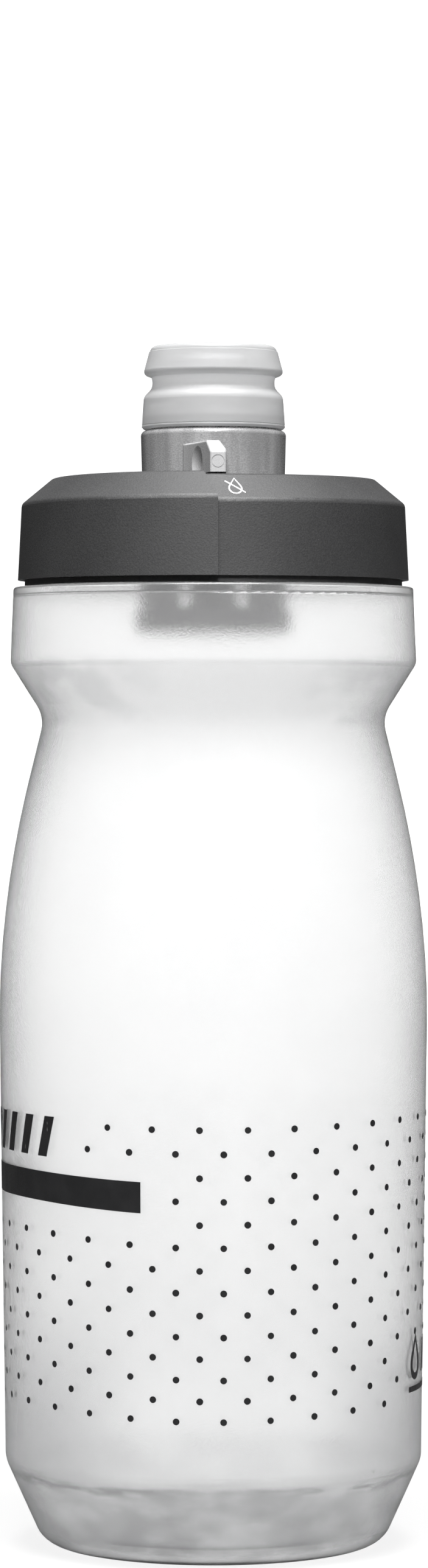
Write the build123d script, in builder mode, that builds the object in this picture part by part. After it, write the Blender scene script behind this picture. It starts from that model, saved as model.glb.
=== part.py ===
from build123d import *
import os
from math import cos, radians, sin, sqrt

os.makedirs("parts", exist_ok=True)

# Squeezable cycling bottle with a twist-lock drinking nozzle.
# Millimetres.  +Z is up, the origin is on the bottle's axis in the plane it stands on,
# and -Y is the side that carries the lock lever and the locked mark.

# ---- driving dimensions: bottle ----
WALL = 1.3                   # blow-moulded wall
BASE_R = 28.94               # sharp corner of the tapered base
BASE_TAPER = 24.3            # degrees from upright
BASE_CORNER = 4.9            # radius where the base turns up
PUSH_UP = 3.2                # height of the domed underside
FOOT_R = 22.3                # inner edge of the ring it stands on
BELLY_R = 36.48              # where the straight wall ends
BELLY_Z = 88.0
WAIST_Z = 139.9              # groove that the cage's tab drops into
COLLAR_TOP = 163.0
NECK_R = 29.6
MOUTH_R = 27.6
RIM_Z = 175.5

# ---- driving dimensions: thread between bottle and lid ----
STARTS = 3
LEAD = 9.0                   # height climbed in one turn
THREAD_SPAN = 150.0          # degrees covered by each start
NECK_THREAD_CREST = 30.8
LID_THREAD_CREST = 30.0

# ---- driving dimensions: lid ----
LID_BOTTOM = 164.2
LID_TOP = 181.4
LID_BORE = 31.2              # inside of the skirt
LID_RIDGE = (32.7, 4.32)     # radius, and depth below the top, where bevel meets skirt
LID_BEVEL_R = 27.47          # where the flat top turns down into the bevel
LID_FOOT_R = 32.2            # recessed foot below the skirt, in its shadow
LID_FOOT_BOTTOM = 163.2
LOBE_SHIFT = 0.3             # each half is a shell set off centre by this much
LOBE_TILT = 0.009            # and leaning by this slope, which makes the two steps
TUBE_R = 13.2                # socket that hangs from the lid
TUBE_WAIST_R = 12.5          # the tube above the ring that its floor leaves standing out
TUBE_BOTTOM = 155.4
TUBE_FLOOR = 159.4
SOCKET_R = 11.3
POST_R = 3.9                 # shut-off post standing in the socket
POST_TOP = 169.3

# ---- driving dimensions: nozzle and its cam ----
TWIST = 90.0                 # degrees from locked to open
RISE = 2.5                   # lift over that twist
CAM_Z = 171.5                # height of the cam lugs when locked
CAM_LUG_H = 2.2
CAM_SLOT_H = 2.7
STEM_R = 11.2
STEM_BOTTOM = 166.9
NOZZLE_BOTTOM = 181.55
NOZZLE_TOP = 189.7
LEVER_TIP = 26.3             # reach of the lock lever from the axis
LEVER_BOTTOM = 181.5
LEVER_TOP = 186.9
LEVER_ROUND = 0.35
VALVE_BOTTOM = 189.95
VALVE_TOP = 204.15


def thread_ridge(start_angle, start_z, root, crest, root_w, crest_w):
    """One raised thread start, its root sunk into the wall it grows from."""
    rise = LEAD * THREAD_SPAN / 360
    with BuildPart() as ridge:
        with BuildLine():
            path = Helix(pitch=LEAD, height=rise, radius=root, center=(0, 0, start_z))
        section = Plane(origin=path @ 0, x_dir=(1, 0, 0), z_dir=path % 0)
        with BuildSketch(section):
            with BuildLine():
                Polyline(
                    (0, -root_w / 2),
                    (crest - root, -crest_w / 2),
                    (crest - root, crest_w / 2),
                    (0, root_w / 2),
                    close=True,
                )
            make_face()
        sweep(path=path, is_frenet=True)
    return ridge.part.rotate(Axis.Z, start_angle)


def bottle_half(inset):
    """Half outline from the standing ring to the collar's top, drawn inset into the wall."""
    taper = radians(BASE_TAPER)
    inward = (-cos(taper) * inset, sin(taper) * inset)
    corner = BASE_CORNER * 0.6458
    foot_out = (BASE_R - corner, inset)
    base_low = (BASE_R + corner * sin(taper) + inward[0], corner * cos(taper) + inward[1])
    base_high = (35.07 + inward[0], 13.59 + inward[1])
    belly_low = (35.51 - inset, 15.58)
    belly_high = (BELLY_R - inset, BELLY_Z)
    waist_low = (29.42 - 0.971 * inset, 138.56 - 0.238 * inset)
    waist_high = (30.11 - 0.846 * inset, 142.79 + 0.533 * inset)
    bulge_low = (34.27 - 0.846 * inset, 149.39 + 0.533 * inset)
    bulge_high = (34.61 - inset, 150.65)
    # the underside: domed centre, short step, then the flat ring
    ThreePointArc((0, PUSH_UP + inset), (11, PUSH_UP - 0.5 + inset), (20.8, 1.0 + inset))
    Line((20.8, 1.0 + inset), (FOOT_R, inset))
    Line((FOOT_R, inset), foot_out)
    # tapered base that lets the bottle slip into a cage
    TangentArc(foot_out, base_low, tangent=(1, 0))
    Line(base_low, base_high)
    TangentArc(base_high, belly_low, tangent=(sin(taper), cos(taper)))
    Line(belly_low, belly_high)
    # shoulder running up into the waist groove
    Spline(
        belly_high,
        (35.2 - inset, 110),
        (32.66 - inset, 125),
        (30.3 - 0.98 * inset, 135),
        waist_low,
        tangents=[(0.0134, 1), (-0.238, 0.971)],
    )
    TangentArc(waist_low, waist_high, tangent=(-0.238, 0.971))
    Line(waist_high, bulge_low)
    TangentArc(bulge_low, bulge_high, tangent=(0.533, 0.846))
    Line(bulge_high, (34.12 - inset, COLLAR_TOP - 0.5 - inset))
    TangentArc(
        (34.12 - inset, COLLAR_TOP - 0.5 - inset),
        (33.6 - inset, COLLAR_TOP - inset),
        tangent=(-0.04, 1),
    )


# ---- bottle: translucent, blow-moulded in one piece with its threaded neck ----
with BuildPart() as bottle_body:
    with BuildSketch(Plane.XZ):
        with BuildLine():
            bottle_half(0)
            Polyline(
                (33.6, COLLAR_TOP),
                (NECK_R, COLLAR_TOP),
                (NECK_R, RIM_Z - 0.4),
                (NECK_R - 0.4, RIM_Z),
                (0, RIM_Z),
                (0, PUSH_UP),
            )
        make_face()
    revolve(axis=Axis.Z)
    for start in range(STARTS):
        add(thread_ridge(120 * start, 168.0, NECK_R - 0.3, NECK_THREAD_CREST, 1.9, 0.9))
    with BuildSketch(Plane.XZ):
        with BuildLine():
            bottle_half(WALL)
            Polyline(
                (33.6 - WALL, COLLAR_TOP - WALL),
                (MOUTH_R, COLLAR_TOP - WALL),
                (MOUTH_R, RIM_Z - 0.4),
                (MOUTH_R + 0.4, RIM_Z),
                (MOUTH_R + 0.4, RIM_Z + 1),
                (0, RIM_Z + 1),
                (0, PUSH_UP + WALL),
            )
        make_face()
    revolve(axis=Axis.Z, mode=Mode.SUBTRACT)
bottle_body.part.label = "bottle_body"
export_step(bottle_body.part, "parts/bottle_body.step")


def lid_lobe(side):
    """Half of the lid's outside: side -1 is the proud left half, +1 the right half."""
    shift = side * LOBE_SHIFT
    lean = -side * LOBE_TILT
    hub = Plane(origin=(0, shift, LID_TOP), x_dir=(1, 0, 0), z_dir=(0, -1, lean))
    depth = LID_TOP - LID_BOTTOM
    with BuildPart() as lobe:
        with BuildSketch(hub):
            with BuildLine():
                FilletPolyline(
                    (0, 0),
                    (LID_BEVEL_R, 0),
                    (LID_RIDGE[0], -LID_RIDGE[1]),
                    (33.4, -depth - 1),
                    radius=(0.9, 1.1),
                )
                Polyline((33.4, -depth - 1), (0, -depth - 1), (0, 0))
            make_face()
        revolve(axis=Axis((0, shift, LID_TOP), (0, lean, 1)))
        # the dividing line leaves the nozzle as a swirl and drops down the front
        with BuildSketch():
            with BuildLine():
                front = Spline((-13, -6), (-8, -17), (-1.8, -27.4), (0.75, -32.7))
                Line(front @ 1, (1.0, -38))
                Line((1.0, -38), (side * 45, -38))
                Line((side * 45, -38), (side * 45, 38))
                Line((side * 45, 38), (-1.0, 38))
                back = Spline((-0.75, 32.7), (1.8, 27.4), (8, 17), (13, 6))
                Line((-1.0, 38), back @ 0)
                Line(back @ 1, front @ 0)
            make_face()
        extrude(amount=200, mode=Mode.INTERSECT)
        with Locations((0, 0, LID_BOTTOM)):
            Box(90, 90, 40, align=(Align.CENTER, Align.CENTER, Align.MIN), mode=Mode.INTERSECT)
    return lobe.part


def cam_slot(start_angle):
    """Helical slot through the socket wall that one cam lug climbs."""
    margin = 9.0
    sweep_angle = TWIST + 2 * margin
    rate = RISE / TWIST
    with BuildPart() as slot:
        with BuildLine():
            path = Helix(
                pitch=rate * 360,
                height=rate * sweep_angle,
                radius=12.25,
                center=(0, 0, CAM_Z - rate * margin),
            )
        section = Plane(origin=path @ 0, x_dir=(1, 0, 0), z_dir=path % 0)
        with BuildSketch(section):
            Rectangle(3.6, CAM_SLOT_H)
        sweep(path=path, is_frenet=True)
    return slot.part.rotate(Axis.Z, start_angle - margin)


# ---- lid: one charcoal moulding, skirt and socket together ----
with BuildPart() as lid_shell:
    add(lid_lobe(-1))
    add(lid_lobe(1))
    with Locations((0, 0, LID_FOOT_BOTTOM)):
        Cylinder(LID_FOOT_R, 1.5, align=(Align.CENTER, Align.CENTER, Align.MIN))
    # hollow under the top, with the flat land that presses on the seal
    with BuildSketch(Plane.XZ):
        with BuildLine():
            Polyline(
                (0, LID_FOOT_BOTTOM - 1),
                (LID_BORE + 0.5, LID_FOOT_BOTTOM - 1),
                (LID_BORE + 0.5, LID_FOOT_BOTTOM),
                (LID_BORE, LID_FOOT_BOTTOM + 0.6),
                (LID_BORE, 175.6),
                (30.0, 177.0),
                (26.6, 177.0),
                (24.4, 179.2),
                (0, 179.2),
                close=True,
            )
        make_face()
    revolve(axis=Axis.Z, mode=Mode.SUBTRACT)
    # ring that keeps the seal from creeping inwards
    with BuildSketch(Plane.XZ):
        with BuildLine():
            Polyline(
                (25.3, 178.9),
                (25.3, 174.4),
                (26.3, 174.4),
                (26.6, 174.8),
                (26.6, 178.9),
                close=True,
            )
        make_face()
    revolve(axis=Axis.Z)
    # twelve ribs stiffen the top between that ring and the socket
    with BuildSketch(Plane.XY.offset(177.4)):
        with PolarLocations(19.3, 12):
            Rectangle(12.4, 1.2)
    extrude(amount=2.2)
    # socket tube with its closed floor
    with Locations((0, 0, TUBE_BOTTOM)):
        Cylinder(TUBE_R, 24.0, align=(Align.CENTER, Align.CENTER, Align.MIN))
    with Locations((0, 0, TUBE_FLOOR)):
        Cylinder(
            SOCKET_R,
            30.0,
            align=(Align.CENTER, Align.CENTER, Align.MIN),
            mode=Mode.SUBTRACT,
        )
    # waist above the floor, and a shallow dish under it
    with BuildSketch(Plane.XZ):
        with BuildLine():
            Polyline(
                (TUBE_WAIST_R, TUBE_FLOOR - 0.6),
                (TUBE_R + 1, TUBE_FLOOR - 0.2),
                (TUBE_R + 1, 168.0),
                (TUBE_R, 168.0),
                (TUBE_WAIST_R, 166.6),
                close=True,
            )
        make_face()
    revolve(axis=Axis.Z, mode=Mode.SUBTRACT)
    with Locations((0, 0, TUBE_BOTTOM)):
        Cone(
            11.0,
            10.2,
            1.8,
            align=(Align.CENTER, Align.CENTER, Align.MIN),
            mode=Mode.SUBTRACT,
        )
    # lead-in at the socket's mouth
    with Locations((0, 0, LID_TOP - 0.25)):
        Cone(
            SOCKET_R,
            SOCKET_R + 0.6,
            0.5,
            align=(Align.CENTER, Align.CENTER, Align.MIN),
            mode=Mode.SUBTRACT,
        )
    # shut-off post, waisted for its seal
    with BuildSketch(Plane.XZ):
        with BuildLine():
            Polyline(
                (0, TUBE_FLOOR - 0.5),
                (POST_R + 0.8, TUBE_FLOOR - 0.5),
                (POST_R, TUBE_FLOOR + 1.6),
                (POST_R, 167.35),
                (2.85, 167.35),
                (2.85, 168.65),
                (POST_R, 168.65),
                (POST_R, POST_TOP - 0.4),
                (POST_R - 0.8, POST_TOP),
                (0, POST_TOP),
                close=True,
            )
        make_face()
    revolve(axis=Axis.Z)
    # two windows, front and back, let the drink into the socket
    with Locations((0, -12, 162.85), (0, 12, 162.85)):
        Box(11.2, 5.2, 6.9, mode=Mode.SUBTRACT)
    add(cam_slot(0), mode=Mode.SUBTRACT)
    add(cam_slot(180), mode=Mode.SUBTRACT)
    for start in range(STARTS):
        add(thread_ridge(120 * start, 166.5, LID_BORE + 0.3, LID_THREAD_CREST, 1.8, 0.9))
lid_shell.part.label = "lid_shell"
export_step(lid_shell.part, "parts/lid_shell.step")


# ---- lid seal: soft ring pressed between the lid's land and the bottle's rim ----
with BuildPart() as lid_seal:
    with BuildSketch(Plane.XZ):
        with BuildLine():
            Polyline(
                (26.68, 175.54),
                (29.75, 175.54),
                (29.85, 175.7),
                (29.75, 176.96),
                (26.68, 176.96),
                close=True,
            )
        make_face()
    revolve(axis=Axis.Z)
lid_seal.part.label = "lid_seal"
export_step(lid_seal.part, "parts/lid_seal.step")


# ---- shut-off seal: small O-ring in the post's waist, closes the stem's port ----
with BuildPart() as shutoff_seal:
    with BuildSketch(Plane.XZ):
        with Locations((3.46, 168.0)):
            Circle(0.59)
    revolve(axis=Axis.Z)
shutoff_seal.part.label = "shutoff_seal"
export_step(shutoff_seal.part, "parts/shutoff_seal.step")


# ---- stem O-ring: rides in the nozzle's groove and wipes the socket wall ----
with BuildPart() as stem_oring:
    with BuildSketch(Plane.XZ):
        with Locations((10.61, 178.4)):
            Circle(0.64)
    revolve(axis=Axis.Z)
stem_oring.part.label = "stem_oring"
export_step(stem_oring.part, "parts/stem_oring.step")


# ---- lock lever: a fin that points at the mark on the lid's bevel ----
with BuildPart() as lever:
    with BuildSketch(Plane.XY.offset(LEVER_BOTTOM)):
        with BuildLine():
            Line((2.12, -10.5), (2.12, -LEVER_TIP))
            Line((2.12, -LEVER_TIP), (-0.54, -LEVER_TIP))
            ThreePointArc((-0.54, -LEVER_TIP), (-2.15, -19.5), (-5.13, -11.4))
            Line((-5.13, -11.4), (-5.13, -10.5))
            Line((-5.13, -10.5), (2.12, -10.5))
        make_face()
    extrude(amount=LEVER_TOP - LEVER_BOTTOM)
    # sloping top at the tip
    with BuildSketch(Plane.YZ.offset(-8)):
        with BuildLine():
            Polyline(
                (-LEVER_TIP - 1, 184.3),
                (-LEVER_TIP, 184.9),
                (-22.9, LEVER_TOP),
                (-22.9, LEVER_TOP + 1),
                (-LEVER_TIP - 1, LEVER_TOP + 1),
                close=True,
            )
        make_face()
    extrude(amount=16, mode=Mode.SUBTRACT)
    # bevel along the right shoulder
    with BuildSketch(Plane.XZ.offset(10)):
        with BuildLine():
            Polyline((0.95, LEVER_TOP + 0.05), (2.2, 185.15), (2.2, LEVER_TOP + 0.05), close=True)
        make_face()
    extrude(amount=20, mode=Mode.SUBTRACT)
    # every edge above the lid's top, out to the tip, is rounded
    shown = lever.edges().filter_by(
        lambda edge: edge.center().Z > LEVER_BOTTOM + 0.1 and edge.center().Y < -12.4
    )
    fillet(shown, LEVER_ROUND)
    # thumb hollow in the left flank
    with Locations((-6.1, -19.0, 183.4)):
        Sphere(4.6, mode=Mode.SUBTRACT)
    # witness ring on the face
    with BuildSketch(Plane.XZ.offset(LEVER_TIP)):
        with Locations((0.76, 183.25)):
            Circle(1.1)
            Circle(0.96, mode=Mode.SUBTRACT)
    extrude(amount=-0.12, mode=Mode.SUBTRACT)


# ---- nozzle base: clear stem, flange, lock lever and the spigot for the valve ----
with BuildPart() as nozzle_base:
    with BuildSketch(Plane.XZ):
        with BuildLine():
            Polyline(
                (0, STEM_BOTTOM),
                (STEM_R - 0.5, STEM_BOTTOM),
                (STEM_R, STEM_BOTTOM + 0.5),
                (STEM_R, 177.72),
                (9.93, 177.72),
                (9.93, 179.08),
                (STEM_R, 179.08),
                (STEM_R, NOZZLE_BOTTOM),
                (12.0, NOZZLE_BOTTOM),
                (12.2, NOZZLE_BOTTOM + 0.2),
                (12.38, NOZZLE_TOP - 0.9),
            )
            ThreePointArc(
                (12.38, NOZZLE_TOP - 0.9),
                (12.12, NOZZLE_TOP - 0.26),
                (11.48, NOZZLE_TOP),
            )
            Polyline(
                (11.48, NOZZLE_TOP),
                (11.0, NOZZLE_TOP),
                (11.0, 192.6),
                (10.8, 192.8),
                (8.6, 192.8),
                (8.6, 194.4),
                (9.2, 195.0),
                (9.2, 195.3),
                (8.5, 196.3),
                (0, 196.3),
                (0, STEM_BOTTOM),
            )
        make_face()
    revolve(axis=Axis.Z)
    add(lever.part)
    # cam lugs low on the stem
    with Locations((12.0, 0, CAM_Z), (-12.0, 0, CAM_Z)):
        Box(2.0, 2.6, CAM_LUG_H)
    # bore, with the port that the post closes
    with Locations((0, 0, STEM_BOTTOM - 1)):
        Cylinder(
            4.1,
            4,
            align=(Align.CENTER, Align.CENTER, Align.MIN),
            mode=Mode.SUBTRACT,
        )
    with BuildSketch(Plane.XZ):
        with BuildLine():
            Polyline(
                (0, 168.6),
                (8.3, 168.6),
                (8.3, 186.0),
                (6.8, 188.2),
                (6.8, 197.0),
                (0, 197.0),
                close=True,
            )
        make_face()
    revolve(axis=Axis.Z, mode=Mode.SUBTRACT)
nozzle_base.part.label = "nozzle_base"
export_step(nozzle_base.part, "parts/nozzle_base.step")


# ---- bite valve: soft cap that snaps over the spigot, with a crossed slit ----
with BuildPart() as bite_valve:
    with BuildSketch(Plane.XZ):
        with BuildLine():
            Line((0, 203.0), (5.6, 203.0))
            ThreePointArc((5.6, 203.0), (6.9, 203.35), (7.6, VALVE_TOP))
            Line((7.6, VALVE_TOP), (9.75, VALVE_TOP))
            ThreePointArc((9.75, VALVE_TOP), (10.5, 203.85), (10.82, 203.2))
            Line((10.82, 203.2), (10.97, 203.12))
            Line((10.97, 203.12), (11.8, 200.0))
            ThreePointArc((11.8, 200.0), (11.72, 199.4), (11.3, 199.05))
            Line((11.3, 199.05), (10.6, 198.8))
            ThreePointArc((10.6, 198.8), (10.42, 198.0), (10.5, 197.2))
            Spline(
                (10.5, 197.2),
                (11.3, 196.1),
                (11.92, 194.9),
                tangents=[(0.25, -1), (0.1, -1)],
            )
            Polyline(
                (11.92, 194.9),
                (12.19, VALVE_BOTTOM + 0.75),
                (12.09, VALVE_BOTTOM + 0.65),
                (12.2, VALVE_BOTTOM + 0.55),
                (12.22, VALVE_BOTTOM + 0.35),
                (11.9, VALVE_BOTTOM),
                (11.15, VALVE_BOTTOM),
                (11.15, 192.95),
                (9.28, 192.95),
                (9.28, 194.1),
                (9.9, 194.6),
                (9.9, 195.6),
                (9.28, 196.5),
                (7.6, 196.5),
                (7.6, 201.2),
                (6.6, 202.0),
                (0, 202.0),
                (0, 203.0),
            )
        make_face()
    revolve(axis=Axis.Z)
    # crossed slit, just open enough to part
    with Locations((0, 0, 202.5)):
        Box(9.0, 0.12, 1.4, mode=Mode.SUBTRACT)
        Box(0.12, 9.0, 1.4, mode=Mode.SUBTRACT)
bite_valve.part.label = "bite_valve"
export_step(bite_valve.part, "parts/bite_valve.step")

for piece in (
    bottle_body,
    lid_shell,
    lid_seal,
    shutoff_seal,
    stem_oring,
    nozzle_base,
    bite_valve,
):
    box = piece.part.bounding_box()
    solids = len(piece.part.solids())
    low = (round(box.min.X, 2), round(box.min.Y, 2), round(box.min.Z, 2))
    high = (round(box.max.X, 2), round(box.max.Y, 2), round(box.max.Z, 2))
    print(piece.part.label, solids, round(piece.part.volume, 1), low, high)
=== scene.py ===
import math

import bmesh
import bpy
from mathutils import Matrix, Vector
from mathutils.bvhtree import BVHTree


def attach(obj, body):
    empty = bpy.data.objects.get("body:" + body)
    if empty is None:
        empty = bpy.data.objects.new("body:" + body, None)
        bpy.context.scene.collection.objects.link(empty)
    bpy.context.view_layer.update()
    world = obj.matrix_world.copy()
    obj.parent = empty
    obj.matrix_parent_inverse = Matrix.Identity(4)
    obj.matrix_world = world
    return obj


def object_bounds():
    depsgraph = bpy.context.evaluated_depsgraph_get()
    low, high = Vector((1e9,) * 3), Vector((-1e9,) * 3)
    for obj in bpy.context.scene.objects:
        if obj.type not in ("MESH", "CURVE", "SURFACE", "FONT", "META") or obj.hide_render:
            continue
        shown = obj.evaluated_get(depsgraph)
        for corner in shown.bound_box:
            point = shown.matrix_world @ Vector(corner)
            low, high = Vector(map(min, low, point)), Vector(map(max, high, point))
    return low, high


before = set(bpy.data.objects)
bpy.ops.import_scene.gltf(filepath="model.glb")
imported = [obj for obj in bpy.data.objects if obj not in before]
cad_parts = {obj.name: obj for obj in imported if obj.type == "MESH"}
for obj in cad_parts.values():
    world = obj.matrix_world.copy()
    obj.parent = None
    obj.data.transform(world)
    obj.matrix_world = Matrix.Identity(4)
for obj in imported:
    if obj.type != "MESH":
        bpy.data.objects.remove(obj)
cad_low, cad_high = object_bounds()
scene = bpy.context.scene
MM = 0.001

# ---- Camera ----
# A portrait lens on a tripod, level with the bottle's waist and a little under a
# metre away, dipped a fraction of a degree towards the middle of the bottle.
CAMERA_SENSOR = 36.0
CAMERA_LENS = 117.4
CAMERA_PLACE = (0.0001, -0.8736, 0.1397)
CAMERA_DIP = math.radians(0.672)

camera = bpy.data.objects.new("camera", bpy.data.cameras.new("camera"))
camera.data.sensor_width = CAMERA_SENSOR
camera.data.lens = CAMERA_LENS
camera.data.clip_start = 0.05
camera.data.clip_end = 50.0
camera.location = CAMERA_PLACE
camera.rotation_euler = (math.pi / 2 - CAMERA_DIP, 0, 0)
scene.collection.objects.link(camera)
scene.camera = camera
scene.view_settings.view_transform = "Standard"

# ---- Studio light ----
# A sweep that is white to camera and transmission rays and nearly black to all others,
# so it shows behind the bottle and through it but adds little light.  The shading comes
# from four softboxes, two of them linked to chosen parts only.
PAPER_WHITE = (1, 1, 1, 1)
SWEEP_SEEN = 1.30
SWEEP_FILL = 0.035
SOFTBOXES = {
    # name: (place, aim, width, height, watts)
    "key_box": ((0.03, -0.36, 1.42), (0, 0, 0.16), 0.75, 0.55, 52.0),
    "face_box": ((-0.02, -1.60, 0.35), (0, 0, 0.12), 0.45, 0.60, 12.0),
    "back_box": ((0.0, 1.15, 1.00), (0, 0, 0.12), 0.80, 0.50, 11.0),
    "sheen_box": ((0.02, -1.05, 1.02), (0, 0, 0.17), 0.40, 0.40, 21.0),
}
MIRRORED = ("key_box", "sheen_box")
# flags: the sheen box lights the hard mouldings alone, and the face box misses the lid
FLAGS = {
    # light: (what becomes of these nodes, the nodes)
    "sheen_box": ("INCLUDE", ("lid_shell", "nozzle_base")),
    "face_box": ("EXCLUDE", ("lid_shell",)),
}


def seen_directly(tree):
    """1 where a camera or a transmission ray looks, 0 for every other ray."""
    ray_kind = tree.nodes.new("ShaderNodeLightPath")
    either = tree.nodes.new("ShaderNodeMath")
    either.operation = "MAXIMUM"
    tree.links.new(ray_kind.outputs["Is Camera Ray"], either.inputs[0])
    tree.links.new(ray_kind.outputs["Is Transmission Ray"], either.inputs[1])
    return either.outputs[0]


world = bpy.data.worlds.new("white_sweep")
world.use_nodes = True
world.cycles.sampling_method = "NONE"
scene.world = world
sky = world.node_tree
sweep = sky.nodes.new("ShaderNodeMapRange")
sweep.inputs["To Min"].default_value = SWEEP_FILL
sweep.inputs["To Max"].default_value = SWEEP_SEEN
sky.links.new(seen_directly(sky), sweep.inputs["Value"])
sky.links.new(sweep.outputs["Result"], sky.nodes["Background"].inputs["Strength"])
sky.nodes["Background"].inputs["Color"].default_value = PAPER_WHITE

for box_name, (place, aim, width, height, watts) in SOFTBOXES.items():
    softbox = bpy.data.lights.new(box_name, "AREA")
    softbox.shape = "RECTANGLE"
    softbox.size, softbox.size_y = width, height
    softbox.energy = watts
    lamp = bpy.data.objects.new(box_name, softbox)
    lamp.location = place
    lamp.rotation_euler = (Vector(aim) - Vector(place)).to_track_quat("-Z", "Y").to_euler()
    lamp.visible_camera = False
    lamp.visible_transmission = False
    lamp.visible_glossy = box_name in MIRRORED
    if box_name in FLAGS:
        treatment, flagged = FLAGS[box_name]
        flag = bpy.data.collections.new(box_name + "_flag")
        for node in flagged:
            flag.objects.link(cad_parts[node])
        for held in flag.collection_objects:
            held.light_linking.link_state = treatment
        lamp.light_linking.receiver_collection = flag
    scene.collection.objects.link(lamp)

# ---- Floor ----
# A round of plain board that fades out into the sweep at its edge.  Like the sweep it
# is pale only to camera and transmission rays; its own colour is dark.
FLOOR_R = 1.2
FLOOR_FADE = (0.35, 1.1)
FLOOR_COLOUR = (0.07, 0.07, 0.07, 1)
FLOOR_LIFT = 0.86
FLOOR_ROUGHNESS = 0.8

floor_mesh = bpy.data.meshes.new("floor")
disc = bmesh.new()
bmesh.ops.create_circle(disc, cap_ends=True, radius=FLOOR_R, segments=96)
disc.to_mesh(floor_mesh)
disc.free()
floor = bpy.data.objects.new("floor", floor_mesh)
scene.collection.objects.link(floor)

board = bpy.data.materials.new("pale_board")
board.use_nodes = True
nodes, links = board.node_tree.nodes, board.node_tree.links
shade = nodes["Principled BSDF"]
shade.inputs["Base Color"].default_value = FLOOR_COLOUR
shade.inputs["Roughness"].default_value = FLOOR_ROUGHNESS
shade.inputs["Emission Color"].default_value = PAPER_WHITE
lift = nodes.new("ShaderNodeMath")
lift.operation = "MULTIPLY"
lift.inputs[1].default_value = FLOOR_LIFT
links.new(seen_directly(board.node_tree), lift.inputs[0])
links.new(lift.outputs[0], shade.inputs["Emission Strength"])
place = nodes.new("ShaderNodeTexCoord")
reach = nodes.new("ShaderNodeVectorMath")
reach.operation = "LENGTH"
links.new(place.outputs["Object"], reach.inputs[0])
fade = nodes.new("ShaderNodeMapRange")
fade.interpolation_type = "SMOOTHSTEP"
fade.inputs["From Min"].default_value = FLOOR_FADE[0]
fade.inputs["From Max"].default_value = FLOOR_FADE[1]
fade.inputs["To Min"].default_value = 1.0
fade.inputs["To Max"].default_value = 0.0
links.new(reach.outputs["Value"], fade.inputs["Value"])
links.new(fade.outputs["Result"], shade.inputs["Alpha"])
floor.data.materials.append(board)

# ---- Bottle ----
# The squeezable body, blow-moulded in one piece from translucent polypropylene, with
# its collar, waist and threaded neck.  The base is greyer, partly for its thicker wall
# and partly as painted shade on its downward-facing taper, with a painted shadow along
# its crease.  Painted shade darkens the sides near the foot and a band round the waist,
# and the body is a touch darker towards the bottom.
BOTTLE_WHITE = (0.985, 0.986, 0.987)
BOTTLE_CLOUD = (0.965, 0.966, 0.968)
# a touch darker towards the bottom, below a ragged line
LOWER_BODY_TONE = (0.984, 0.985, 0.986)
# painted shade on the left and right sides near the foot
SIDE_PAINTED_SHADE = (0.79, 0.792, 0.796)
# painted shade round the waist, broken up and stronger towards the sides
WAIST_PAINTED_SHADE = (0.85, 0.852, 0.856)
WAIST_EVEN = 0.15
WAIST_AT = 145 * MM
WAIST_REACH = 6.8 * MM
# the base's grey: partly its thicker wall, partly painted shade on the downward-facing taper
BASE_GREY = (0.68, 0.682, 0.685)
BASE_PALE = (0.90, 0.903, 0.906)
# painted shadow along the crease at the top of the base, stronger towards the sides
BASE_CREASE_SHADOW = (0.44, 0.442, 0.446)
BASE_TOP = 13.8 * MM
LOWER_TONE_TOP = 48 * MM
CLOUD_SIZE = 22 * MM
GRAIN_SIZE = 0.35 * MM


def new_finish(name):
    """A material with an empty Principled shader, and its nodes."""
    finish = bpy.data.materials.new(name)
    finish.use_nodes = True
    tree = finish.node_tree
    return finish, tree, tree.nodes["Principled BSDF"]


def wire(tree, value, socket):
    """Joins a socket to another, or sets it to a plain value."""
    if isinstance(value, bpy.types.NodeSocket):
        tree.links.new(value, socket)
    else:
        socket.default_value = value


def calc(tree, operation, a, b=0.0):
    """One Math node."""
    node = tree.nodes.new("ShaderNodeMath")
    node.operation = operation
    wire(tree, a, node.inputs[0])
    wire(tree, b, node.inputs[1])
    return node.outputs[0]


def where(tree, stretch=(1, 1, 1)):
    """Object coordinates, stretched along each axis."""
    coordinates = tree.nodes.new("ShaderNodeTexCoord")
    mapping = tree.nodes.new("ShaderNodeMapping")
    mapping.inputs["Scale"].default_value = stretch
    tree.links.new(coordinates.outputs["Object"], mapping.inputs["Vector"])
    return mapping.outputs["Vector"]


def noise(tree, size, detail=2.0, stretch=(1, 1, 1)):
    """A noise field whose blobs are about as wide as size, in metres."""
    node = tree.nodes.new("ShaderNodeTexNoise")
    tree.links.new(where(tree, stretch), node.inputs["Vector"])
    node.inputs["Scale"].default_value = 1 / size
    node.inputs["Detail"].default_value = detail
    return node.outputs["Fac"]


def ramp(tree, value, low, high, to_low=0.0, to_high=1.0):
    """A smooth step of value between low and high."""
    node = tree.nodes.new("ShaderNodeMapRange")
    node.interpolation_type = "SMOOTHSTEP"
    wire(tree, value, node.inputs["Value"])
    for name, number in zip(
        ("From Min", "From Max", "To Min", "To Max"), (low, high, to_low, to_high)
    ):
        wire(tree, number, node.inputs[name])
    return node.outputs["Result"]


def tint(tree, share, first, second):
    """A colour between first and second."""
    node = tree.nodes.new("ShaderNodeMix")
    node.data_type = "RGBA"
    wire(tree, share, node.inputs["Factor"])
    for colour, socket in ((first, node.inputs["A"]), (second, node.inputs["B"])):
        socket = [s for s in node.inputs if s.name == socket.name and s.type == "RGBA"][0]
        wire(tree, colour if isinstance(colour, bpy.types.NodeSocket) else (*colour, 1), socket)
    return [s for s in node.outputs if s.type == "RGBA"][0]


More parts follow.
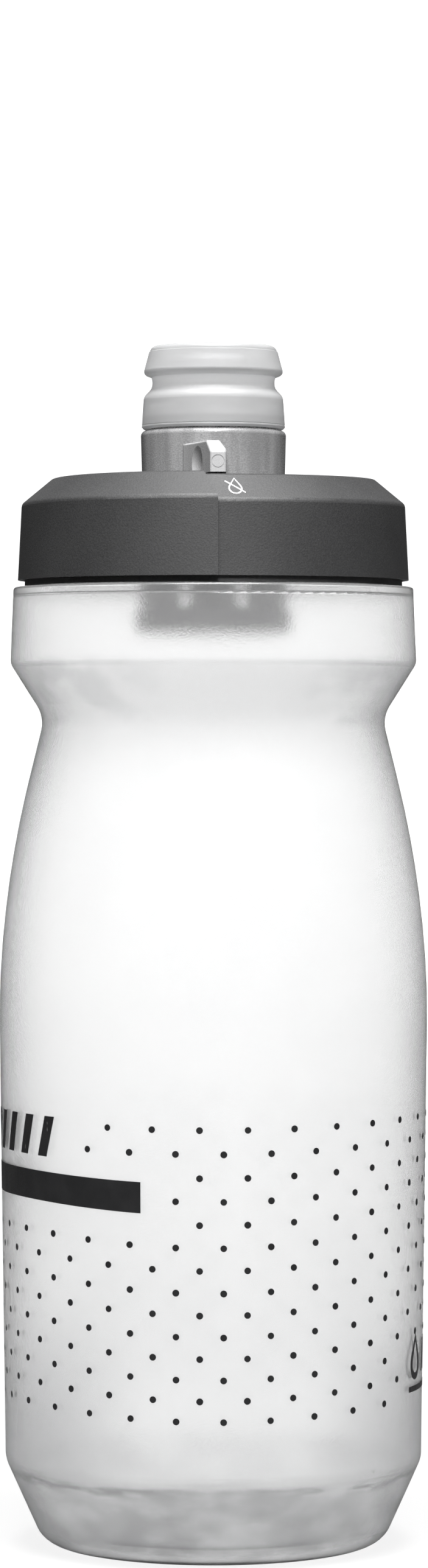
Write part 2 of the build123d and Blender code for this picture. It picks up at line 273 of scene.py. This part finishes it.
def relief(tree, shader, fields):
    """Bumps stacked on the shader's normal, each (height field, depth in metres)."""
    below = None
    for field, depth in fields:
        node = tree.nodes.new("ShaderNodeBump")
        node.inputs["Distance"].default_value = depth
        wire(tree, field, node.inputs["Height"])
        if below is not None:
            tree.links.new(below, node.inputs["Normal"])
        below = node.outputs["Normal"]
    tree.links.new(below, shader.inputs["Normal"])


def along(tree, axis="Z"):
    """One coordinate of the point being shaded, its height unless another is asked for."""
    split = tree.nodes.new("ShaderNodeSeparateXYZ")
    tree.links.new(where(tree), split.inputs[0])
    return split.outputs[axis]


def translucent_polypropylene():
    finish, tree, shader = new_finish("translucent_polypropylene")
    cloud = noise(tree, CLOUD_SIZE, 3.0)
    mottle = noise(tree, 9 * MM, 4.0, (1, 1, 1.6))
    grain = noise(tree, GRAIN_SIZE, 2.0)
    height = along(tree)
    edge = calc(tree, "ADD", height, calc(tree, "MULTIPLY", mottle, 0.9 * MM))
    above_base = ramp(tree, edge, BASE_TOP, BASE_TOP + 0.6 * MM)
    plain = tint(tree, ramp(tree, cloud, 0.35, 0.7), BOTTLE_WHITE, BOTTLE_CLOUD)
    # a touch darker towards the bottom, below a ragged line
    ragged = calc(tree, "ADD", height, calc(tree, "MULTIPLY", mottle, 24 * MM))
    plain = tint(tree, ramp(tree, ragged, 22 * MM, LOWER_TONE_TOP), LOWER_BODY_TONE, plain)
    # reach is the distance to either side of the middle
    reach = calc(tree, "ADD", along(tree, "X"), calc(tree, "MULTIPLY", cloud, -4 * MM))
    reach = calc(tree, "ABSOLUTE", reach)
    # painted shade on the left and right sides near the foot
    near_foot = ramp(tree, height, 46 * MM, 17 * MM)
    side = calc(tree, "MULTIPLY", ramp(tree, reach, 12 * MM, 32 * MM), near_foot)
    plain = tint(tree, side, plain, SIDE_PAINTED_SHADE)
    # painted shade round the waist, broken up and stronger towards the sides
    waist = calc(tree, "ABSOLUTE", calc(tree, "SUBTRACT", height, WAIST_AT))
    waist = ramp(tree, waist, WAIST_REACH, WAIST_REACH - 2.5 * MM)
    outward = ramp(tree, reach, 4 * MM, 26 * MM)
    waist_shade = calc(tree, "MULTIPLY", ramp(tree, mottle, 0.38, 0.62), outward)
    waist_shade = calc(tree, "MAXIMUM", waist_shade, WAIST_EVEN)
    plain = tint(tree, calc(tree, "MULTIPLY", waist, waist_shade), plain, WAIST_PAINTED_SHADE)
    # the base's grey: partly its thicker wall, partly painted shade on the downward-facing taper
    foot = tint(tree, ramp(tree, mottle, 0.3, 0.7), BASE_GREY, BASE_PALE)
    # painted shadow along the crease at the top of the base, stronger towards the sides
    crease_break = noise(tree, 6 * MM, 3.0, (1, 1, 5))
    band = ramp(tree, edge, BASE_TOP - 2.2 * MM, BASE_TOP, 0.0, 0.9)
    band = calc(tree, "MULTIPLY", band, ramp(tree, reach, 6 * MM, 20 * MM, 0.2, 1.0))
    band = calc(tree, "MULTIPLY", band, ramp(tree, crease_break, 0.4, 0.62))
    foot = tint(tree, band, foot, BASE_CREASE_SHADOW)
    colour = tint(tree, above_base, foot, plain)
    tree.links.new(colour, shader.inputs["Base Color"])
    rough = ramp(tree, grain, 0.3, 0.7, 0.16, 0.24)
    tree.links.new(rough, shader.inputs["Roughness"])
    relief(tree, shader, [(cloud, 0.05 * MM), (grain, 0.012 * MM)])
    shader.inputs["IOR"].default_value = 1.49
    shader.inputs["Transmission Weight"].default_value = 0.88
    return finish


def finish_node(node, finish):
    """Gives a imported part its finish."""
    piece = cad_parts[node]
    piece.data.materials.clear()
    piece.data.materials.append(finish)
    return piece


bottle = finish_node("bottle_body", translucent_polypropylene())

# ---- Print on the bottle ----
# One colour of black ink, screen-printed round the wall before the lid goes on.  A bold
# band has slanted bars above it, a drop is on the other side, and dots fill the rest.
INK_BLACK = (0.016, 0.016, 0.017)
INK_WORN = (0.024, 0.024, 0.025)
INK_PROUD = 0.05 * MM
INK_SUNK = 0.03 * MM
BAND_ENDS = (-112.0, -19.4)
BAND_LOW, BAND_HIGH = 59.0 * MM, 64.2 * MM
BARS_AT = (-106.0, -97.0, -88.0, -79.0, -70.0, -61.0, -52.0)
BAR_LOW, BAR_HIGH = 66.9 * MM, 74.2 * MM
BAR_HALF_TURN = 1.9
BAR_SLANT = 3.2
DROP_AT = 72.5
DROP_TIP, DROP_END = 34.4 * MM, 28.0 * MM
LINE_ENDS = (67.5, 112.0)
LINE_LOW, LINE_HIGH = 25.6 * MM, 26.5 * MM
DROP_HALF, DROP_STROKE = 2.1 * MM, 0.55 * MM
TICKS_AT = (5.6 * MM, 9.4 * MM, 13.2 * MM, 17.0 * MM)
TICK_LOW, TICK_HIGH = 28.2 * MM, 33.6 * MM
TICK_SLANT, TICK_HALF = 1.6 * MM, 0.75 * MM
DOT_ROWS = 14
DOTS_ROUND = 28
DOT_TURN = 12.6
DOT_R = 0.56 * MM
DOT_TOP = 73.05 * MM
DOT_PITCH = 4.0 * MM
DOT_CLOSING = 0.0235 * MM
DOT_START = -180.0
BOW = 1.95 * MM
BOW_MIDDLE = 43.0 * MM
BOW_FALL = 1.66
BOW_REACH = 70.0
wall_field = BVHTree.FromObject(bottle, bpy.context.evaluated_depsgraph_get())


def on_wall(degrees, height, lift):
    """The point on the bottle's wall at that angle and height, lifted off it."""
    angle = math.radians(degrees)
    outward = Vector((math.sin(angle), -math.cos(angle), 0))
    start = outward * 0.1 + Vector((0, 0, height))
    point, normal, _, _ = wall_field.ray_cast(start, -outward)
    return point + normal * lift


def bowed(degrees, height):
    """The height of a row of print, which dips across the front and runs level behind."""
    share = math.sin(math.radians(90 * min(abs(degrees), BOW_REACH) / BOW_REACH)) ** 2
    return height + share * (BOW - BOW_FALL * (height - BOW_MIDDLE) ** 2)


def on_print(u, v, lift):
    """As on_wall, for a stroke that follows the bowed rows."""
    turned = (u + 180) % 360 - 180
    return on_wall(turned, bowed(turned, v), lift)


def screen_ink():
    finish, tree, shader = new_finish("screen_ink")
    mesh_marks = noise(tree, 0.25 * MM, 2.0)
    wear = noise(tree, 5 * MM, 3.0)
    colour = tint(tree, ramp(tree, wear, 0.3, 0.75), INK_BLACK, INK_WORN)
    tree.links.new(colour, shader.inputs["Base Color"])
    tree.links.new(ramp(tree, mesh_marks, 0.3, 0.7, 0.34, 0.48), shader.inputs["Roughness"])
    relief(tree, shader, [(mesh_marks, 0.006 * MM)])
    return finish


ink = screen_ink()


def printed_strip(name, body, finish, lay, strokes):
    """One print of several strokes.  A stroke is (path, half width, across, closed): its
    path in the print's own two directions, laid on the surface by lay(u, v, lift), and
    whether its width is taken straight across and its ends are joined."""
    shape = bmesh.new()
    for path, half, across, closed in strokes:
        rings = []
        count = len(path)
        for i, (u, v) in enumerate(path):
            if across:
                side = (half, 0.0)
            else:
                before = path[i - 1] if i or closed else path[i]
                after = path[(i + 1) % count] if i < count - 1 or closed else path[i]
                run = Vector((after[0] - before[0], after[1] - before[1])).normalized()
                side = (-run.y * half, run.x * half)
            ring = []
            for sign, lift in ((-1, -INK_SUNK), (1, -INK_SUNK), (1, INK_PROUD), (-1, INK_PROUD)):
                ring.append(shape.verts.new(lay(u + sign * side[0], v + sign * side[1], lift)))
            rings.append(ring)
        for i in range(count if closed else count - 1):
            here, there = rings[i], rings[(i + 1) % count]
            for k in range(4):
                shape.faces.new((here[k], here[(k + 1) % 4], there[(k + 1) % 4], there[k]))
        if not closed:
            shape.faces.new(rings[0][::-1])
            shape.faces.new(rings[-1])
    bmesh.ops.recalc_face_normals(shape, faces=shape.faces)
    mesh = bpy.data.meshes.new(name)
    shape.to_mesh(mesh)
    shape.free()
    piece = bpy.data.objects.new(name, mesh)
    scene.collection.objects.link(piece)
    piece.data.materials.append(finish)
    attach(piece, body)
    return piece


def steps(first, last, count):
    """Evenly spaced values from first to last."""
    return [first + (last - first) * i / count for i in range(count + 1)]


def drop_outline(half_width, tip, end):
    """A drop from its tip to its round end: two straight flanks and an arc."""
    way = 1 if end > tip else -1
    round_at = end - way * half_width
    lean = math.asin(half_width / abs(round_at - tip))
    path = [(0.0, tip)]
    for angle in steps(-lean, math.pi + lean, 26):
        path.append((half_width * math.cos(angle), round_at + way * half_width * math.sin(angle)))
    return path


band_middle = (BAND_LOW + BAND_HIGH) / 2
band_path = [(degrees, band_middle) for degrees in steps(*BAND_ENDS, 90)]
band_strokes = [(band_path, (BAND_HIGH - BAND_LOW) / 2, False, False)]
printed_strip("printed_band", "bottle", ink, on_print, band_strokes)

bar_strokes = []
for degrees in BARS_AT:
    path = list(zip(steps(degrees, degrees + BAR_SLANT, 6), steps(BAR_LOW, BAR_HIGH, 6)))
    bar_strokes.append((path, BAR_HALF_TURN, True, False))
printed_strip("printed_bars", "bottle", ink, on_print, bar_strokes)


def on_side(u, v, lift):
    """As on_print, for a mark at DROP_AT whose u is in metres along the wall."""
    return on_print(DROP_AT + math.degrees(u / cad_high[0]), v, lift)


line_reach = [cad_high[0] * math.radians(degrees - DROP_AT) for degrees in LINE_ENDS]
line_path = [(u, (LINE_LOW + LINE_HIGH) / 2) for u in steps(*line_reach, 40)]
drop_strokes = [
    (drop_outline(DROP_HALF, DROP_TIP, DROP_END), DROP_STROKE, False, True),
    (line_path, (LINE_HIGH - LINE_LOW) / 2, False, False),
]
for start in TICKS_AT:
    path = list(zip(steps(start, start + TICK_SLANT, 6), steps(TICK_LOW, TICK_HIGH, 6)))
    drop_strokes.append((path, TICK_HALF, True, False))
printed_strip("printed_drop", "bottle", ink, on_side, drop_strokes)

dots_tree = bpy.data.node_groups.new("dot_field", "GeometryNodeTree")
DOT_INPUTS = {
    # name: (socket type, value)
    "Bottle": ("NodeSocketObject", bottle),
    "Rows": ("NodeSocketInt", DOT_ROWS),
    "Dots round": ("NodeSocketInt", DOTS_ROUND),
    "Top row": ("NodeSocketFloat", DOT_TOP),
    "Row pitch": ("NodeSocketFloat", DOT_PITCH),
    "Row closing": ("NodeSocketFloat", DOT_CLOSING),
    "First dot": ("NodeSocketFloat", math.radians(DOT_START)),
    "Dot turn": ("NodeSocketFloat", math.radians(DOT_TURN)),
    "Bow": ("NodeSocketFloat", BOW),
    "Bow fall": ("NodeSocketFloat", BOW_FALL),
    "Bow middle": ("NodeSocketFloat", BOW_MIDDLE),
    "Bow reach": ("NodeSocketFloat", math.radians(BOW_REACH)),
    "Dot radius": ("NodeSocketFloat", DOT_R),
    "Ink depth": ("NodeSocketFloat", INK_PROUD + INK_SUNK),
    "Seed": ("NodeSocketInt", 7),
    "Ink": ("NodeSocketMaterial", ink),
}
DOT_SIDES = 20
DOT_SPREAD = (0.97, 1.03)
# stretches of the wall kept clear of dots: first row, last row, from, to, in degrees
CLEAR_ZONES = (
    (0, 0, -118.0, -29.5),
    (1, 1, -118.0, -36.0),
    (2, 4, -121.0, -11.0),
    (11, 13, 60.5, 119.5),
)
for name, (kind, _) in DOT_INPUTS.items():
    dots_tree.interface.new_socket(name, in_out="INPUT", socket_type=kind)
dots_tree.interface.new_socket("Geometry", in_out="OUTPUT", socket_type="NodeSocketGeometry")


def geo(kind, **sockets):
    """A node in the dot tree, with its inputs joined or set by name or number."""
    node = dots_tree.nodes.new(kind)
    for key, value in sockets.items():
        name = key.replace("_", " ")
        wire(dots_tree, value, node.inputs[int(key[1:]) if key[1:].isdigit() else name])
    return node


def math_of(operation, a, b=0.0):
    return calc(dots_tree, operation, a, b)


given = dots_tree.nodes.new("NodeGroupInput").outputs
count = math_of("MULTIPLY", given["Rows"], given["Dots round"])
points = geo("GeometryNodePoints", Count=count)
index = dots_tree.nodes.new("GeometryNodeInputIndex").outputs[0]
row = math_of("FLOOR", math_of("DIVIDE", math_of("ADD", index, 0.5), given["Dots round"]))
column = math_of("SUBTRACT", index, math_of("MULTIPLY", row, given["Dots round"]))
stagger = math_of("MULTIPLY", math_of("MODULO", row, 2.0), 0.5)
turn = math_of("MULTIPLY", math_of("ADD", column, stagger), given["Dot turn"])
turn = math_of("ADD", turn, given["First dot"])
drop = math_of("MULTIPLY", row, given["Row pitch"])
rise = math_of("MULTIPLY", math_of("MULTIPLY", row, row), given["Row closing"])
level = math_of("ADD", math_of("SUBTRACT", given["Top row"], drop), rise)
swing = math_of("MINIMUM", math_of("ABSOLUTE", turn), given["Bow reach"])
swing = math_of("MULTIPLY", math_of("DIVIDE", swing, given["Bow reach"]), math.pi / 2)
share = math_of("POWER", math_of("SINE", swing), 2.0)
off_middle = math_of("ABSOLUTE", math_of("SUBTRACT", level, given["Bow middle"]))
off_middle = math_of("POWER", off_middle, 2.0)
most = math_of("SUBTRACT", given["Bow"], math_of("MULTIPLY", off_middle, given["Bow fall"]))
level = math_of("ADD", level, math_of("MULTIPLY", share, most))
outward_x = math_of("SINE", turn)
outward_y = math_of("MULTIPLY", math_of("COSINE", turn), -1.0)
outward = geo("ShaderNodeCombineXYZ", X=outward_x, Y=outward_y).outputs[0]
start_x = math_of("MULTIPLY", outward_x, 0.1)
start_y = math_of("MULTIPLY", outward_y, 0.1)
start = geo("ShaderNodeCombineXYZ", X=start_x, Y=start_y, Z=level).outputs[0]
inward = dots_tree.nodes.new("ShaderNodeVectorMath")
inward.operation = "SCALE"
wire(dots_tree, outward, inward.inputs[0])
inward.inputs["Scale"].default_value = -1.0
wall = geo("GeometryNodeObjectInfo", Object=given["Bottle"])
cast = geo("GeometryNodeRaycast", Target_Geometry=wall.outputs["Geometry"])
wire(dots_tree, start, cast.inputs["Source Position"])
wire(dots_tree, inward.outputs[0], cast.inputs["Ray Direction"])
cast.inputs["Ray Length"].default_value = 0.1
placed = geo("GeometryNodeSetPosition", Geometry=points.outputs[0])
wire(dots_tree, cast.outputs["Hit Position"], placed.inputs["Position"])
in_a_zone = 0.0
for first_row, last_row, from_degrees, to_degrees in CLEAR_ZONES:
    tests = (
        math_of("GREATER_THAN", row, first_row - 0.5),
        math_of("LESS_THAN", row, last_row + 0.5),
        math_of("GREATER_THAN", turn, math.radians(from_degrees)),
        math_of("LESS_THAN", turn, math.radians(to_degrees)),
    )
    inside = math_of("MULTIPLY", math_of("MULTIPLY", *tests[:2]), math_of("MULTIPLY", *tests[2:]))
    in_a_zone = math_of("MAXIMUM", inside, in_a_zone)
kept_normal = geo("GeometryNodeStoreNamedAttribute", Geometry=placed.outputs[0])
kept_normal.data_type = "FLOAT_VECTOR"
kept_normal.inputs["Name"].default_value = "wall_normal"
wire(
    dots_tree,
    cast.outputs["Hit Normal"],
    [s for s in kept_normal.inputs if s.name == "Value" and s.enabled][0],
)
cleared = geo("GeometryNodeDeleteGeometry", Geometry=kept_normal.outputs[0], Selection=in_a_zone)
dot = geo("GeometryNodeMeshCylinder", Radius=given["Dot radius"], Depth=given["Ink depth"])
dot.inputs["Vertices"].default_value = DOT_SIDES
normal_field = geo("GeometryNodeInputNamedAttribute", Name="wall_normal")
normal_field.data_type = "FLOAT_VECTOR"
normal_out = [s for s in normal_field.outputs if s.enabled and s.name == "Attribute"][0]
facing = geo("FunctionNodeAlignRotationToVector", Vector=normal_out)
facing.axis = "Z"
size = dots_tree.nodes.new("FunctionNodeRandomValue")
size.data_type = "FLOAT"
low, high = [s for s in size.inputs if s.enabled and s.name in ("Min", "Max")]
low.default_value, high.default_value = DOT_SPREAD
wire(dots_tree, given["Seed"], size.inputs["Seed"])
spread = geo(
    "GeometryNodeInstanceOnPoints",
    Points=cleared.outputs[0],
    Instance=dot.outputs["Mesh"],
    Rotation=facing.outputs[0],
    Scale=[s for s in size.outputs if s.enabled][0],
)
whole = geo("GeometryNodeRealizeInstances", Geometry=spread.outputs[0])
inked = geo("GeometryNodeSetMaterial", Geometry=whole.outputs[0], Material=given["Ink"])
result = dots_tree.nodes.new("NodeGroupOutput")
dots_tree.links.new(inked.outputs[0], result.inputs[0])

dot_maker = bpy.data.objects.new("dot_maker", bpy.data.meshes.new("dot_maker"))
scene.collection.objects.link(dot_maker)
modifier = dot_maker.modifiers.new("dot_field", "NODES")
modifier.node_group = dots_tree
for item in dots_tree.interface.items_tree:
    if item.in_out == "INPUT":
        modifier[item.identifier] = DOT_INPUTS[item.name][1]
evaluated = dot_maker.evaluated_get(bpy.context.evaluated_depsgraph_get())
dots_mesh = bpy.data.meshes.new_from_object(evaluated)
bpy.data.objects.remove(dot_maker)
printed_dots = bpy.data.objects.new("printed_dots", dots_mesh)
scene.collection.objects.link(printed_dots)
if not dots_mesh.materials:
    dots_mesh.materials.append(ink)
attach(printed_dots, "bottle")

# ---- Lid seal ----
# A flat ring of soft silicone between the bottle's rim and the lid, pressed on all
# round by the lid's land.  It turns with neither, and lifts off with the lid.
SEAL_GREY = (0.62, 0.63, 0.64)
SEAL_PALE = (0.72, 0.73, 0.74)


def soft_rubber(name, dark, light, grain_size, roughness):
    finish, tree, shader = new_finish(name)
    bloom = noise(tree, 4 * MM, 3.0)
    grain = noise(tree, grain_size, 2.0)
    colour = tint(tree, ramp(tree, bloom, 0.3, 0.7), dark, light)
    tree.links.new(colour, shader.inputs["Base Color"])
    rough = ramp(tree, grain, 0.3, 0.7, roughness - 0.06, roughness + 0.06)
    tree.links.new(rough, shader.inputs["Roughness"])
    relief(tree, shader, [(grain, 0.01 * MM)])
    shader.inputs["Specular IOR Level"].default_value = 0.4
    return finish


seal_silicone = soft_rubber("seal_silicone", SEAL_GREY, SEAL_PALE, 0.3 * MM, 0.5)
finish_node("lid_seal", seal_silicone)

# ---- Lid ----
# One heavy moulding of charcoal polypropylene with a spark-eroded grain.  It screws
# down on the neck, and its two halves meet in a swirl that starts at the nozzle.
LID_DARK = (0.017, 0.017, 0.0175)
LID_LIGHT = (0.028, 0.028, 0.0285)


def charcoal_plastic():
    finish, tree, shader = new_finish("charcoal_plastic")
    grain = noise(tree, 0.28 * MM, 3.0)
    patch = noise(tree, 12 * MM, 2.0)
    speck = noise(tree, 0.12 * MM, 1.0)
    patch = calc(tree, "MULTIPLY", patch, 0.3)
    mixed = calc(tree, "ADD", calc(tree, "MULTIPLY", grain, 0.7), patch)
    colour = tint(tree, ramp(tree, mixed, 0.35, 0.65), LID_DARK, LID_LIGHT)
    tree.links.new(colour, shader.inputs["Base Color"])
    tree.links.new(ramp(tree, speck, 0.3, 0.7, 0.54, 0.66), shader.inputs["Roughness"])
    relief(tree, shader, [(grain, 0.03 * MM), (speck, 0.008 * MM)])
    shader.inputs["Specular IOR Level"].default_value = 0.55
    return finish


lid = finish_node("lid_shell", charcoal_plastic())

# ---- Marks on the lid ----
# Pad-printed in pale grey on the bevel where the lever points: a drop crossed out
# where the nozzle is locked, and an open drop a quarter turn on.
MARK_GREY = (0.72, 0.72, 0.73)
MARK_WORN = (0.62, 0.62, 0.63)
MARK_HALF = 0.115 * MM
LOCKED_AT = 6.9
OPEN_AT = 96.9
MARK_INNER, MARK_OUTER = 28.2 * MM, 31.3 * MM
MARK_WIDE = 1.05 * MM
SLASH_REACH, SLASH_INNER, SLASH_OUTER = 1.6 * MM, 28.7 * MM, 31.1 * MM
lid_field = BVHTree.FromObject(lid, bpy.context.evaluated_depsgraph_get())


def on_bevel(at_degrees):
    """A way to lay a mark on the lid's bevel: u runs sideways, v outwards from the nozzle."""
    angle = math.radians(at_degrees)
    outward = Vector((math.sin(angle), -math.cos(angle), 0))
    sideways = Vector((math.cos(angle), math.sin(angle), 0))

    def lay(u, v, lift):
        start = outward * v + sideways * u + Vector((0, 0, 0.3))
        point, normal, _, _ = lid_field.ray_cast(start, Vector((0, 0, -1)))
        return point + normal * lift

    return lay


def pad_print():
    finish, tree, shader = new_finish("pad_print")
    wear = noise(tree, 0.5 * MM, 3.0)
    colour = tint(tree, ramp(tree, wear, 0.35, 0.7), MARK_GREY, MARK_WORN)
    tree.links.new(colour, shader.inputs["Base Color"])
    tree.links.new(ramp(tree, wear, 0.3, 0.7, 0.4, 0.55), shader.inputs["Roughness"])
    relief(tree, shader, [(noise(tree, 0.2 * MM, 2.0), 0.006 * MM)])
    return finish


pale_print = pad_print()
drop = drop_outline(MARK_WIDE, MARK_INNER, MARK_OUTER)
slash = list(zip(steps(-SLASH_REACH, SLASH_REACH, 10), steps(SLASH_INNER, SLASH_OUTER, 10)))
printed_strip(
    "locked_mark",
    "lid",
    pale_print,
    on_bevel(LOCKED_AT),
    [(drop, MARK_HALF, False, True), (slash, MARK_HALF, False, False)],
)
printed_strip(
    "open_mark", "lid", pale_print, on_bevel(OPEN_AT), [(drop, MARK_HALF, False, True)]
)

# ---- Shut-off seal and stem O-ring ----
# Two moulded nitrile rings: one round the post inside the socket, which the stem's
# port closes on, and one in the stem's groove that wipes the socket's wall.
RING_BLACK = (0.018, 0.018, 0.019)
RING_BLOOM = (0.035, 0.035, 0.036)
oring_rubber = soft_rubber("oring_rubber", RING_BLACK, RING_BLOOM, 0.2 * MM, 0.42)
finish_node("shutoff_seal", oring_rubber)
finish_node("stem_oring", oring_rubber)

# ---- Nozzle ----
# Stem, flange and lock lever in one clear grey moulding, its outside blasted to a fine
# sparkle.  It sits in the lid's socket and climbs as it is turned a quarter turn.
NOZZLE_DARK = (0.19, 0.19, 0.192)
NOZZLE_LIGHT = (0.27, 0.27, 0.272)
# the lever's paler grey is a painted highlight on its flat face
LEVER_PAINTED_HIGHLIGHT = (0.42, 0.42, 0.424)
LEVER_ROOT = 12.5 * MM


def clear_grey_plastic():
    finish, tree, shader = new_finish("clear_grey_plastic")
    sparkle = noise(tree, 0.28 * MM, 2.0, (1, 1, 1.6))
    streak = noise(tree, 2.2 * MM, 2.0, (1, 1, 0.12))
    streak = calc(tree, "MULTIPLY", streak, 0.55)
    mixed = calc(tree, "ADD", calc(tree, "MULTIPLY", sparkle, 0.45), streak)
    # wall is 1 on the round wall and falls off along the lever, which is smooth and
    # painted paler, a painted highlight on its flat face
    across = calc(tree, "POWER", along(tree, "X"), 2.0)
    reach = calc(tree, "ADD", across, calc(tree, "POWER", along(tree, "Y"), 2.0))
    reach = calc(tree, "SQRT", reach)
    wall = ramp(tree, reach, LEVER_ROOT, LEVER_ROOT + 0.4 * MM, 1.0, 0.15)
    colour = tint(tree, ramp(tree, mixed, 0.38, 0.62), NOZZLE_DARK, NOZZLE_LIGHT)
    colour = tint(tree, wall, LEVER_PAINTED_HIGHLIGHT, colour)
    tree.links.new(colour, shader.inputs["Base Color"])
    tree.links.new(ramp(tree, sparkle, 0.3, 0.7, 0.18, 0.34), shader.inputs["Roughness"])
    relief(tree, shader, [(calc(tree, "MULTIPLY", sparkle, wall), 0.035 * MM)])
    shader.inputs["IOR"].default_value = 1.5
    shader.inputs["Transmission Weight"].default_value = 0.25
    return finish


finish_node("nozzle_base", clear_grey_plastic())

# ---- Bite valve ----
# A soft cap of frosted silicone that snaps over the nozzle's spigot.  Biting the lip
# parts its crossed slit.
VALVE_WHITE = (0.775, 0.777, 0.781)
VALVE_MILK = (0.735, 0.737, 0.741)
# painted shade on the lip's upward-facing top and on the hem, where the nozzle shows dark through
VALVE_PAINTED_SHADE = (0.63, 0.632, 0.636)
# painted light on the neck, where the lip's shadow falls
VALVE_PAINTED_LIGHT = (0.95, 0.951, 0.953)
VALVE_LIP = 198.4 * MM
VALVE_NECK = 196.3 * MM
VALVE_HEM = 192.4 * MM


def valve_silicone():
    finish, tree, shader = new_finish("valve_silicone")
    frost = noise(tree, 0.5 * MM, 3.0)
    haze = noise(tree, 6 * MM, 2.0, (1, 1, 2.0))
    height = along(tree)
    # painted shade on the lip's upward-facing top and on the hem, where the nozzle shows dark
    # through
    lip = ramp(tree, height, VALVE_LIP, VALVE_LIP + 1.2 * MM)
    hem = ramp(tree, height, VALVE_HEM, VALVE_HEM - 0.8 * MM, 0.0, 0.75)
    plain = tint(tree, ramp(tree, haze, 0.3, 0.7), VALVE_WHITE, VALVE_MILK)
    # painted light on the neck, where the lip's shadow falls
    neck = ramp(tree, height, VALVE_NECK, VALVE_NECK + 0.7 * MM)
    plain = tint(tree, neck, plain, VALVE_PAINTED_LIGHT)
    colour = tint(tree, calc(tree, "MAXIMUM", lip, hem), plain, VALVE_PAINTED_SHADE)
    tree.links.new(colour, shader.inputs["Base Color"])
    tree.links.new(ramp(tree, frost, 0.3, 0.7, 0.40, 0.50), shader.inputs["Roughness"])
    relief(tree, shader, [(haze, 0.03 * MM)])
    shader.inputs["IOR"].default_value = 1.41
    shader.inputs["Transmission Weight"].default_value = 0.60
    return finish


finish_node("bite_valve", valve_silicone())
